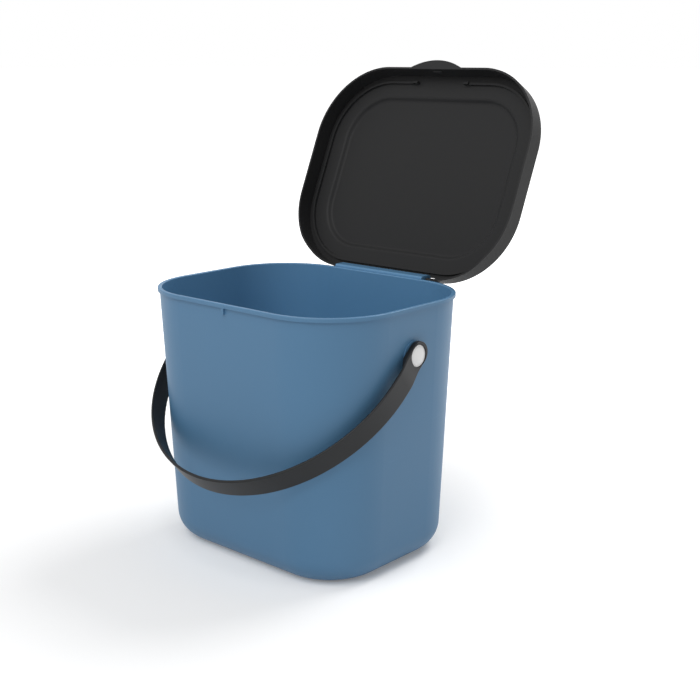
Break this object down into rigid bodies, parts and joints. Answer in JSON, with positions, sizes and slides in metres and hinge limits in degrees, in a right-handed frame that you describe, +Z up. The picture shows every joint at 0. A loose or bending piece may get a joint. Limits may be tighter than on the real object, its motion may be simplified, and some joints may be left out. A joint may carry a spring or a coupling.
{
  "type": "waste bin",
  "caption": "Oblong table-top kitchen waste bin: a tapered round-cornered bucket, a hinged lid with a raised panel and finger tab standing open, and a bail handle hanging in front.",
  "frame": {"origin": "middle of the foot ring's plane, where the bin stands on the table", "axes": "+X to the right seen from the front, -Y to the front where the handle hangs, +Z up"},
  "size_m": [0.2288, 0.2872, 0.3712],
  "materials": {
    "bucket_plastic": "blue polypropylene with a fine even moulded texture",
    "lid_plastic": "black polypropylene with a fine moulded texture",
    "handle_plastic": "black polypropylene, satin",
    "button_plastic": "white acetal, smooth satin gloss"
  },
  "bodies": {
    "bin": {"bucket": "bucket_plastic", "left_pivot_button": "button_plastic", "right_pivot_button": "button_plastic"},
    "lid": {"lid": "lid_plastic"},
    "handle": {"carry_handle": "handle_plastic"}
  },
  "joints": [
    {"name": "lid_hinge", "type": "hinge", "parent": "bin", "child": "lid", "pos_m": [0, 0.09305, 0.1957], "axis": [1, 0, 0], "range_deg": [0, 113.4]},
    {"name": "handle_swing", "type": "hinge", "parent": "bin", "child": "handle", "pos_m": [0, 0, 0.167], "axis": [-1, 0, 0], "range_deg": [0, 185]}
  ]
}
